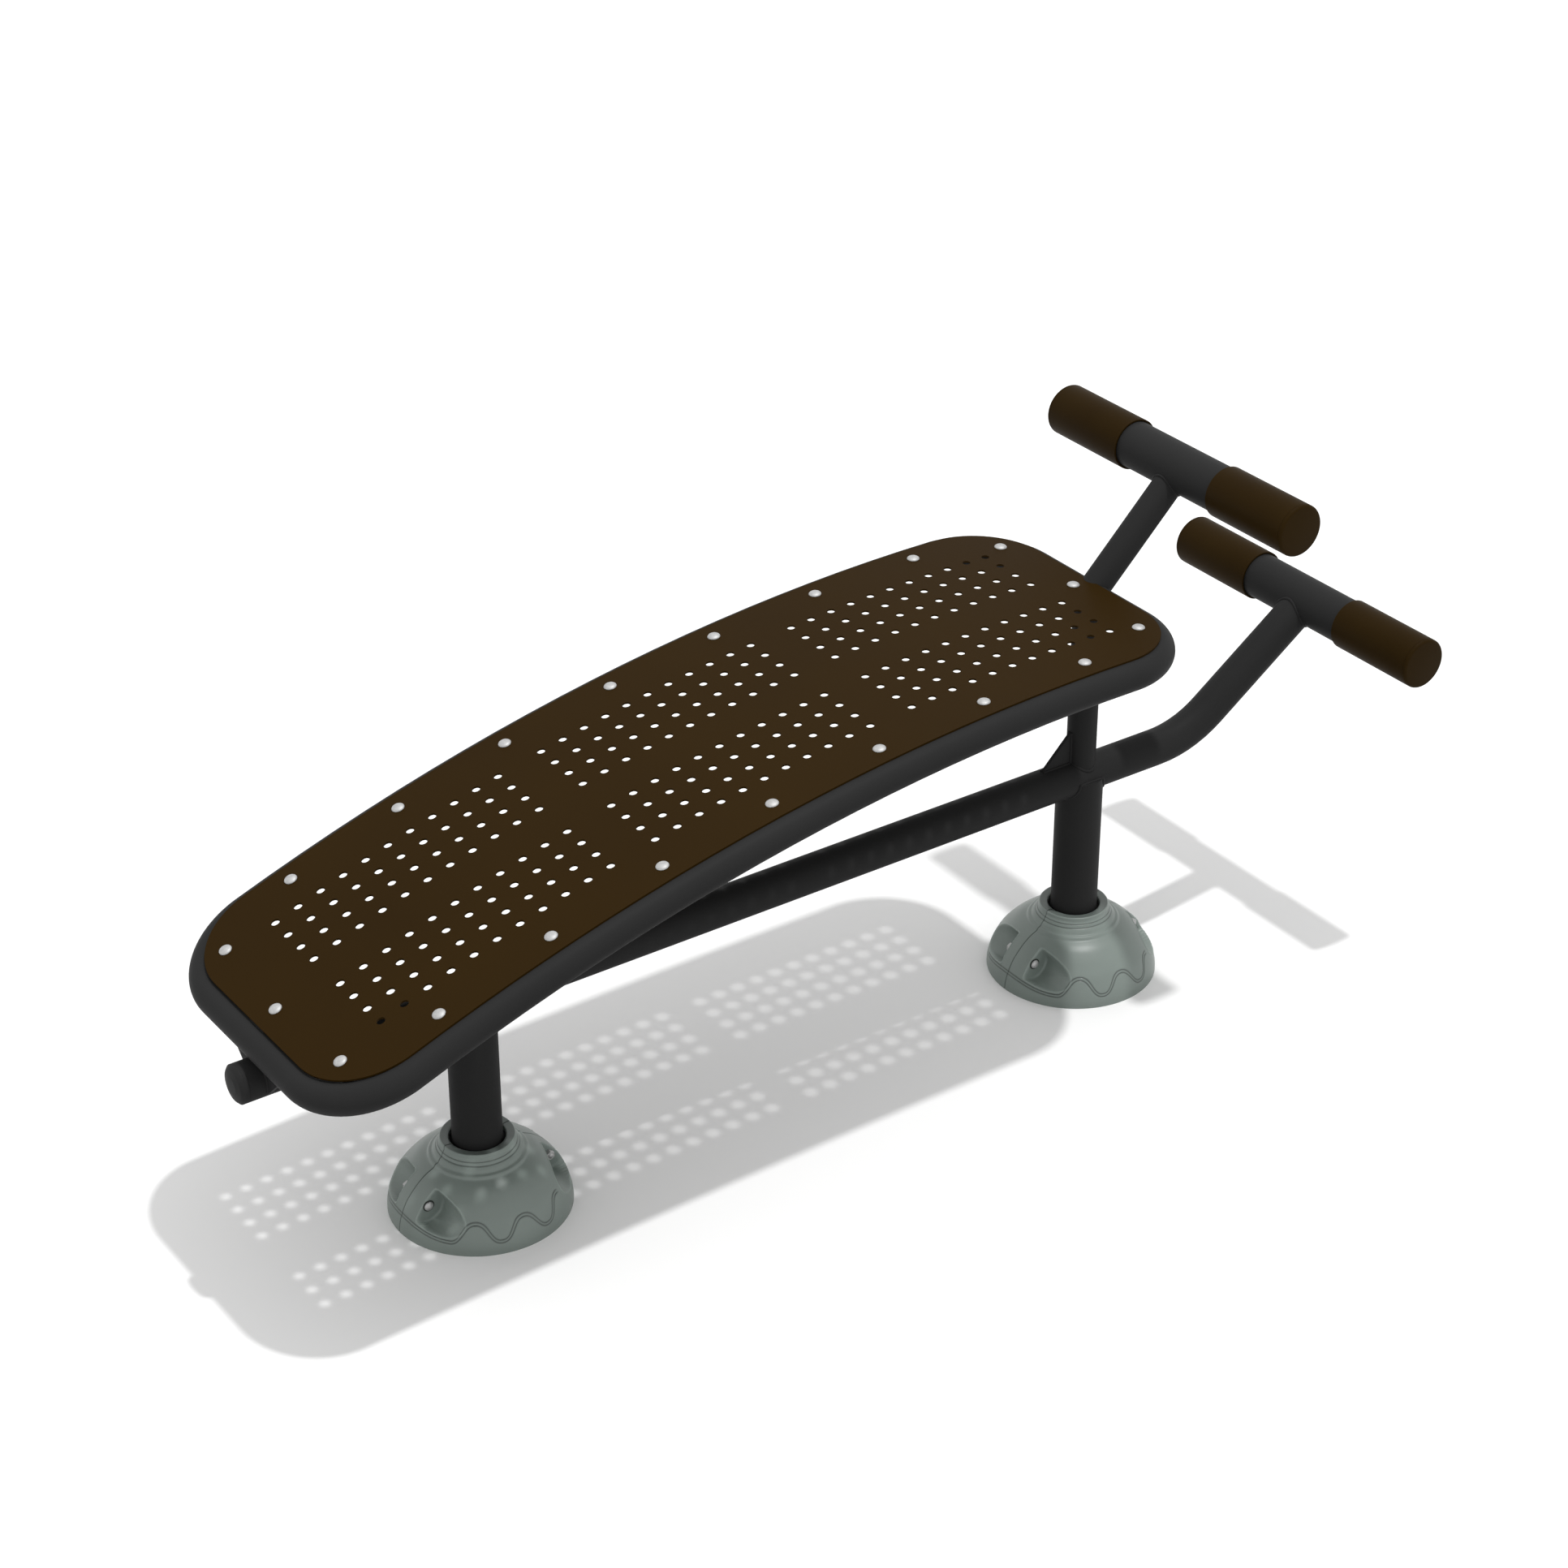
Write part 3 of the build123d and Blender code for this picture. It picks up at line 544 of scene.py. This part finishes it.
def spun(name, outline, centre, way, facets, material):
    """Closed outline of (radius, along) turned about an axis that runs through centre along way."""
    side = way.orthogonal().normalized()
    up = way.cross(side)
    points, faces = [], []
    count = len(outline)
    for facet in range(facets):
        turn = 2 * math.pi * facet / facets
        out = side * math.cos(turn) + up * math.sin(turn)
        points.extend((centre + way * along + out * radius) * mm for radius, along in outline)
    for facet in range(facets):
        here, there = facet * count, (facet + 1) % facets * count
        for i in range(count):
            j = (i + 1) % count
            if outline[i][0] > 0 or outline[j][0] > 0:
                faces.append((here + i, here + j, there + j, there + i))
    mesh = bpy.data.meshes.new(name)
    mesh.from_pydata(points, [], faces)
    return finished(name, mesh, material)


def moulded(name, deep, bright, roughness, grain_size, ior=satin_ior, over=None):
    """Moulded plastic: even colour with a slow drift, the fine grain of the mould, and what lies over it."""
    coat = Finish(bpy.data.materials.new(name))
    place = coat.node("ShaderNodeTexCoord", output="Object")
    drift = coat.noise(place, scale=9.0, detail=3.0)
    grain = coat.noise(place, scale=1 / (grain_size * mm), roughness=0.6)
    tone = (drift.spread(1.2) + grain.spread(0.8) + 0.5).clamped()
    bump = coat.node("ShaderNodeBump", {}, {"Strength": 0.3, "Distance": 0.2 * mm, "Height": grain})
    colour = coat.blend(tone, deep, bright)
    inputs = {
        "Base Color": over(coat, colour) if over else colour,
        "Roughness": grain.spread(0.15) + drift.spread(0.1) + roughness,
        "IOR": ior,
        "Normal": bump,
    }
    return coat.closed(coat.node("ShaderNodeBsdfPrincipled", {}, inputs))


brown_plastic = moulded("brown_plastic", shade(38, 26, 7), shade(45, 32, 10), roughness=0.5, grain_size=1.1)
cap_low, cap_high = measured("upper_left_roller_cap")
roller_r, crown, spigot_end = (cap_high.x - cap_low.x) / 2, cap_high.y, cap_low.y
roller_inner = measured("upper_left_roller_sleeve")[0].y
roller_seam, seam_half = 273.0, 0.1
sleeve_bore_r, flange_bore_r, flange_start, flange_end = 38.6, 16.2, 254.3, 260.3
crown_drop, cap_wall, spigot_r, spigot_wall = 1.6, 5.5, 38.5, 3.0
roller_facets = 96
sleeve_corners = [
    (roller_r, roller_inner, 0.5),
    (roller_r, roller_seam - seam_half, 0.6),
    (sleeve_bore_r, roller_seam - seam_half, 0),
    (sleeve_bore_r, flange_end, 0),
    (flange_bore_r, flange_end, 0.5),
    (flange_bore_r, flange_start, 0.5),
    (sleeve_bore_r, flange_start, 0),
    (sleeve_bore_r, roller_inner, 1.2),
]
cap_corners = [
    (roller_r, roller_seam + seam_half, 0.6),
    (roller_r, crown - crown_drop, 5.0),
    (0.0, crown, 0),
    (0.0, crown - cap_wall, 0),
    (spigot_r - spigot_wall, crown - cap_wall, 1.0),
    (spigot_r - spigot_wall, spigot_end, 0.5),
    (spigot_r, spigot_end, 0.5),
    (spigot_r, roller_seam + seam_half, 0),
]
for level, bar in (("upper", upper_bar), ("lower", lower_bar)):
    for side, way in (("left", across_y), ("right", -across_y)):
        body = f"{level}_{side}_roller"
        for part, corners in (("sleeve", sleeve_corners), ("cap", cap_corners)):
            name = f"{body}_{part}_moulding"
            piece = spun(name, rounded(corners), bar, way, roller_facets, brown_plastic)
            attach(piece, body)
            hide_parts(f"{body}_{part}")

# The spine's end cap. A black plastic plug with a flange as wide as the tube and a low dome, pushed into the
# open end.
black_plastic = moulded("black_plastic", shade(42, 42, 42), shade(52, 52, 52), roughness=0.5, grain_size=0.9)
spine_end = Vector((measured("spine_tube")[0].x, 0.0, spine_z))
plug_reach, plug_r, plug_flange, plug_height = 25.0, 26.35, 7.5, 15.6
plug_facets = 72
plug_corners = [
    (0.0, -plug_reach, 0),
    (plug_r, -plug_reach, 2.0),
    (plug_r, 0.0, 0),
    (spine_r, 0.0, 0.8),
    (spine_r, plug_flange, 1.0),
    (25.0, 12.4, 8.0),
    (13.0, 15.0, 16.0),
    (0.0, plug_height, 0),
]
plug = spun("spine_end_plug", rounded(plug_corners), spine_end, -along_x, plug_facets, black_plastic)
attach(plug, "bench")
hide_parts("spine_end_cap")

# The base covers. Each is two moulded half domes of grey-green plastic that close round the post's foot. The
# scoops beside the split hold the clamping bolts, and a wavy double line runs round the skirt. Painted shade
# darkens the grooves and the flat mouth of the collar, and painted highlight pales the rims of the scoops.

# Outline, as (radius, height), and its steps, as (up to this height, length).
dome_line = [
    (139.7, 0.0), (139.6, 3.0), (139.3, 8.0), (138.6, 13.0), (137.0, 20.0), (134.9, 27.0), (130.9, 37.0),
    (124.6, 49.5), (116.5, 60.0), (107.4, 70.0), (96.6, 79.4), (88.4, 84.8), (82.0, 88.0), (78.4, 89.6),
]
shoulder_line = [
    (76.2, 91.0), (74.8, 93.2), (73.2, 95.0), (71.0, 95.8), (69.0, 96.6), (67.4, 98.6), (66.0, 101.0),
]
collar_line = [
    (64.2, 103.2), (62.6, 105.2), (61.3, 107.6), (60.2, 110.0), (59.0, 112.2), (57.6, 114.4), (57.0, 117.0),
]
mouth_line = [
    (56.8, 119.6), (56.0, 121.0), (54.4, 121.6), (50.0, 121.2), (45.8, 120.7), (43.4, 119.9), (42.3, 118.4),
]
row_steps = ((10.0, 2.0), (80.0, 1.15), (1000.0, 0.72))
curve_share_count = 24

# Shell, and the scoops in it: round pockets that end at a flat wall beside the split.
cover_columns, inner_rows, bore_rows = 420, 24, 6
cover_wall, inner_top = 4.0, 92.0
bore_r, bore_foot, bore_drop = 42.3, 97.5, 1.0
scoop_x, scoop_z, scoop_r = 109.5, 55.5, 28.2
head_wall, nut_wall = 33.5, 24.0
floor_corner, rim_corner = 5.0, 1.5
search_depth, search_step, tiny = 60.0, 0.4, 1e-9
lip_height, lip_gap, lip_width, lip_fade = 0.8, 1.6, 1.1, 1.0

# Lines. The double line on the skirt is a blunted wave round the middle of each half and runs out in a low
# tail to the split. It is left out between gap_start and gap_end.
middle_degrees = 90.0
wave_degrees, wave_z, wave_height, wave_blunt = 33.3, 32.0, 14.0, 0.25
wave_end, tail_degrees, tail_z, tail_rise = 50.0, 40.0, 18.0, 9.5
skirt_mm_per_degree = 2.35
line_cut, line_width, line_pitch, line_fade = 1.2, 0.9, 4.3, 1.5
gap_start, gap_start_fade, gap_end, gap_end_fade = 124.0, 2.5, 148.0, 3.0
ring_heights, ring_cut, split_cut, fine_width = (105.4, 111.0), 0.85, 1.1, 0.7
# Painted shade darkens the collar's flat mouth inside this radius, next to the post.
mouth_r, mouth_painted_shade = 55.4, 0.6


def smooth_curve(points, steps):
    """Catmull-Rom curve through the points, cut into the steps."""
    points = np.array([points[0], *points, points[-1]], float)
    share = np.linspace(0, 1, curve_share_count, endpoint=False)[:, None]
    pieces = []
    for a, b, c, d in zip(points, points[1:], points[2:], points[3:]):
        pieces.append(0.5 * (
            2 * b + (c - a) * share + (2 * a - 5 * b + 4 * c - d) * share**2
            + (3 * b - a - 3 * c + d) * share**3
        ))
    curve = np.concatenate([*pieces, points[-1:]])
    tops, sizes = np.array(steps).T
    length = np.linalg.norm(np.diff(curve, axis=0), axis=1) / sizes[np.searchsorted(tops, curve[:-1, 1])]
    reach = np.concatenate([[0], np.cumsum(length)])
    marks = np.linspace(0, reach[-1], int(reach[-1]) + 1)
    return np.stack([np.interp(marks, reach, curve[:, k]) for k in (0, 1)], 1)


def soft_max(a, b, width):
    """Larger of two distances, with the corner between them rounded."""
    return np.maximum(a, b) + np.maximum(width - np.abs(a - b), 0) ** 2 / (4 * width)


def scoop_gap(spots, skin):
    """Distance from the nearest scoop, less the skin that lines it."""
    wall = np.where(spots[:, 0] < 0, head_wall, nut_wall)
    round_gap = np.hypot(np.abs(spots[:, 0]) - scoop_x, spots[:, 2] - scoop_z) - scoop_r
    return soft_max(round_gap, wall - np.abs(spots[:, 1]), floor_corner) - skin


def scooped(points, inwards, skin):
    """How far each point of the dome sinks along its own inward line to reach the scoops."""
    depth = np.full(len(points), -1.0)
    before = np.zeros(len(points))
    for reach in np.arange(0.0, search_depth, search_step):
        level = soft_max(skin - reach, -scoop_gap(points + inwards * reach, skin), rim_corner)
        done = (level <= tiny) & (depth < 0)
        step = level[done] / (level[done] - before[done] - tiny)
        depth[done] = np.maximum(reach + search_step * np.clip(step, -1, 0), 0)
        before = level
    return np.maximum(depth, 0)


def groove(distance, width):
    """Share of a line's depth at a distance from its middle."""
    return np.exp(-((distance / width) ** 2))


def wavy_line(angle):
    """Height and steepness of the skirt's line, by the angle from the middle of the half cover."""
    turn = 2 * math.pi * angle / wave_degrees
    swing = np.cos(turn)
    wave = wave_z + wave_height * swing * (1 + wave_blunt - wave_blunt * swing**2)
    tail = tail_z + tail_rise * (1 - np.cos(np.clip((angle - wave_end) / tail_degrees, 0, 1) * math.pi)) / 2
    steepness = wave_height * (1 + wave_blunt - 3 * wave_blunt * swing**2) * np.sin(turn)
    steepness *= 2 * math.pi / wave_degrees / skirt_mm_per_degree
    return np.where(angle < wave_end, wave, tail), np.where(angle < wave_end, steepness, 0.0)


def line_depth(points, degrees):
    """Depth of the wavy double line on the skirt, of the collar's rings and of the split line."""
    height = points[:, 2]
    line, steepness = wavy_line(np.abs(degrees - middle_degrees))
    across = (height - line) / np.sqrt(1 + steepness**2)
    depth = line_cut * (groove(across, line_width) + groove(across - line_pitch, line_width))
    after_start = np.clip((degrees - gap_start) / gap_start_fade, 0, 1)
    before_end = np.clip((gap_end - degrees) / gap_end_fade, 0, 1)
    depth *= 1 - after_start * before_end
    for ring_z in ring_heights:
        depth += ring_cut * groove(height - ring_z, fine_width)
    return depth + split_cut * groove(points[:, 1], fine_width)


def swept(profile, squares):
    """Points of a profile turned round the post through a half turn, and the outward line at each."""
    spots = cover_ways[:, None] * profile[:, 0, None]
    spots[:, :, 2] = profile[:, 1]
    leads = cover_ways[:, None] * squares[:, 0, None]
    leads[:, :, 2] = squares[:, 1]
    return spots.reshape(-1, 3), leads.reshape(-1, 3)


cover_degrees = np.linspace(0, 2 * middle_degrees, cover_columns)
cover_turns = np.radians(cover_degrees)
cover_ways = np.stack([-np.cos(cover_turns), -np.sin(cover_turns), np.zeros(cover_columns)], 1)
outer_line = smooth_curve(dome_line + shoulder_line + collar_line + mouth_line, row_steps)
outer_rows = len(outer_line)
outer_ways = np.gradient(outer_line, axis=0)
outer_ways /= np.linalg.norm(outer_ways, axis=1)[:, None]
outer_squares = np.stack([outer_ways[:, 1], -outer_ways[:, 0]], 1)

spots, leads = swept(outer_line, outer_squares)
sunk = scooped(spots, -leads, 0.0)
line = line_depth(spots, np.repeat(cover_degrees, outer_rows)) * np.clip(line_fade - sunk, 0, 1)
lip = lip_height * groove(scoop_gap(spots, 0.0) - lip_gap, lip_width) * np.clip(lip_fade - sunk, 0, 1)
outside = (spots - leads * (sunk + line - lip)[:, None]).reshape(cover_columns, outer_rows, 3)

pick = np.linspace(0, (outer_line[:, 1] < inner_top).sum() - 1, inner_rows).astype(int)
spots, leads = swept(outer_line[pick], outer_squares[pick])
inside = (spots - leads * scooped(spots, -leads, cover_wall)[:, None]).reshape(cover_columns, inner_rows, 3)
inside[:, 0] = outside[:, 0] - cover_ways * cover_wall
bore_heights = np.linspace(bore_foot, outer_line[-1, 1] - bore_drop, bore_rows)
bore = np.stack([np.full(bore_rows, bore_r), bore_heights], 1)
bore_spots = swept(bore, bore)[0].reshape(cover_columns, bore_rows, 3)

half_shell = np.concatenate([outside, bore_spots[:, ::-1], inside[:, ::-1]], 1)
half_shell[0, :, 1] = half_shell[-1, :, 1] = 0.0
half_shell[:, :, 1] = np.minimum(half_shell[:, :, 1], 0.0)
around = half_shell.shape[1]
column = np.arange(cover_columns - 1)[:, None] * around
row, next_row = np.arange(around), (np.arange(around) + 1) % around
half_faces = np.stack([column + row, column + next_row, column + around + next_row, column + around + row], 2)
half_faces = half_faces.reshape(-1, 4).tolist()
half_faces.append(list(range(around))[::-1])
half_faces.append(list(range((cover_columns - 1) * around, cover_columns * around)))
# Colour marks on the covers, kept in the "line" attribute: painted shade in the grooves, rings and split
# line, and painted highlight where the scoops' rims are raised.
painted_shade_and_highlight_marks = np.zeros((cover_columns, around))
painted_shade_and_highlight_marks[:, :outer_rows] = np.clip((line / line_cut - lip).reshape(cover_columns, outer_rows), -1, 1)
# Painted shade on the collar's flat mouth, next to the post.
painted_shade_and_highlight_marks[:, :outer_rows] += mouth_painted_shade * (outer_line[:, 0] < mouth_r)


def cover_half(name, post_x, turned, material):
    """One half cover in its place: the half shell as it is, or turned to the post's other side."""
    points = half_shell * ((-1, -1, 1) if turned else (1, 1, 1)) + (post_x, 0, 0)
    mesh = bpy.data.meshes.new(name)
    mesh.from_pydata((points.reshape(-1, 3) * mm).tolist(), [], half_faces)
    # The "line" attribute holds the painted shade and painted highlight marks.
    mesh.attributes.new("line", "FLOAT", "POINT").data.foreach_set("value", painted_shade_and_highlight_marks.ravel())
    return finished(name, mesh, material, sharp_degrees=50.0)


sage_deep, sage_bright = shade(122, 132, 127), shade(136, 147, 141)
# Painted shade darkens the grooves and the collar's mouth, and painted highlight pales the scoops' rims.
painted_shade_tone, painted_shade_cover = 0.2, 0.85
painted_highlight_tone, painted_highlight_cover = 1.7, 0.5
painted_shade_colour = tuple(part * painted_shade_tone for part in sage_deep)
painted_highlight_colour = tuple(part * painted_highlight_tone for part in sage_bright)


def painted_shade_and_highlight(coat, colour):
    """Painted shade in the grooves and the collar's mouth, and painted highlight on the scoops' rims."""
    painted_mark = coat.node("ShaderNodeAttribute", {"attribute_name": "line"}, output="Fac")
    colour = coat.blend(painted_mark.clamped() * painted_shade_cover, colour, painted_shade_colour)
    return coat.blend((painted_mark * -1.0).clamped() * painted_highlight_cover, colour, painted_highlight_colour)


sage_plastic = moulded(
    "sage_plastic", sage_deep, sage_bright, roughness=0.38, grain_size=0.8, ior=1.45, over=painted_shade_and_highlight
)
for end, post_x in (("rear", rear_x), ("front", front_x)):
    for side, turned in (("right", False), ("left", True)):
        piece = cover_half(f"{end}_{side}_cover_shell", post_x, turned, sage_plastic)
        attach(piece, "bench")
        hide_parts(f"{end}_cover_{side}_half")

# The clamping bolts of the covers. Domed zinc heads on washers sit on the flange walls of the scoops,
# and the shanks run across the split to nuts on the other side. The washers are dark grey as painted shade of
# the recess round each head.
cover_bolt_x, cover_bolt_z = 106.2, 54.1
washer_bore_r, washer_r, washer_height, washer_sink, washer_facets = 4.1, 9.2, 1.0, 0.05, 48
head_lift = 0.9
cover_bolt_sizes = {
    "Head radius": 7.4 * mm,
    "Head height": 4.6 * mm,
    "Shank radius": 4.0 * mm,
    "Shank length": 66.8 * mm,
}
washer_corners = [
    (washer_bore_r, -washer_sink, 0),
    (washer_r, -washer_sink, 0),
    (washer_r, washer_height, 0.4),
    (washer_bore_r, washer_height, 0.4),
]
# The washers' dark grey is painted shade of the recess round each bolt head.
recess_shade_washer = moulded("recess_shade_washer", shade(56, 60, 57), shade(66, 70, 67), roughness=0.6, grain_size=0.6)
for end, post_x in (("rear", rear_x), ("front", front_x)):
    seats = []
    for side in (-1, 1):
        way = across_y * side
        seat = Vector((post_x + side * cover_bolt_x, side * head_wall, cover_bolt_z))
        seats.append((seat + way * head_lift, way))
        washer_name = f"{end}_cover_washer_{len(seats)}"
        washer = spun(washer_name, rounded(washer_corners), seat, way, washer_facets, recess_shade_washer)
        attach(washer, "bench")
    places = bolt_places(f"{end}_cover_bolt_places", seats)
    piece = grown(f"{end}_cover_bolt_set", places, domed_bolts, cover_bolt_sizes, bright_zinc)
    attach(piece, "bench")
    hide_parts(f"{end}_cover_bolts")

# The small parts of the foot: zinc-plated nuts of the clamping bolts, a rubber ring that centres the cover on
# the post, and the galvanised base plate under it.
dress(bright_zinc, "rear_cover_nuts", "front_cover_nuts")
black_rubber = moulded("black_rubber", shade(24, 24, 24), shade(36, 36, 36), roughness=0.75, grain_size=1.4)
dress(black_rubber, "rear_collar_seal", "front_collar_seal")
galvanised = zinc("galvanised_plate", shade(140, 144, 148), shade(176, 180, 184), roughness=0.5)
dress(galvanised, "rear_base_plate", "front_base_plate")
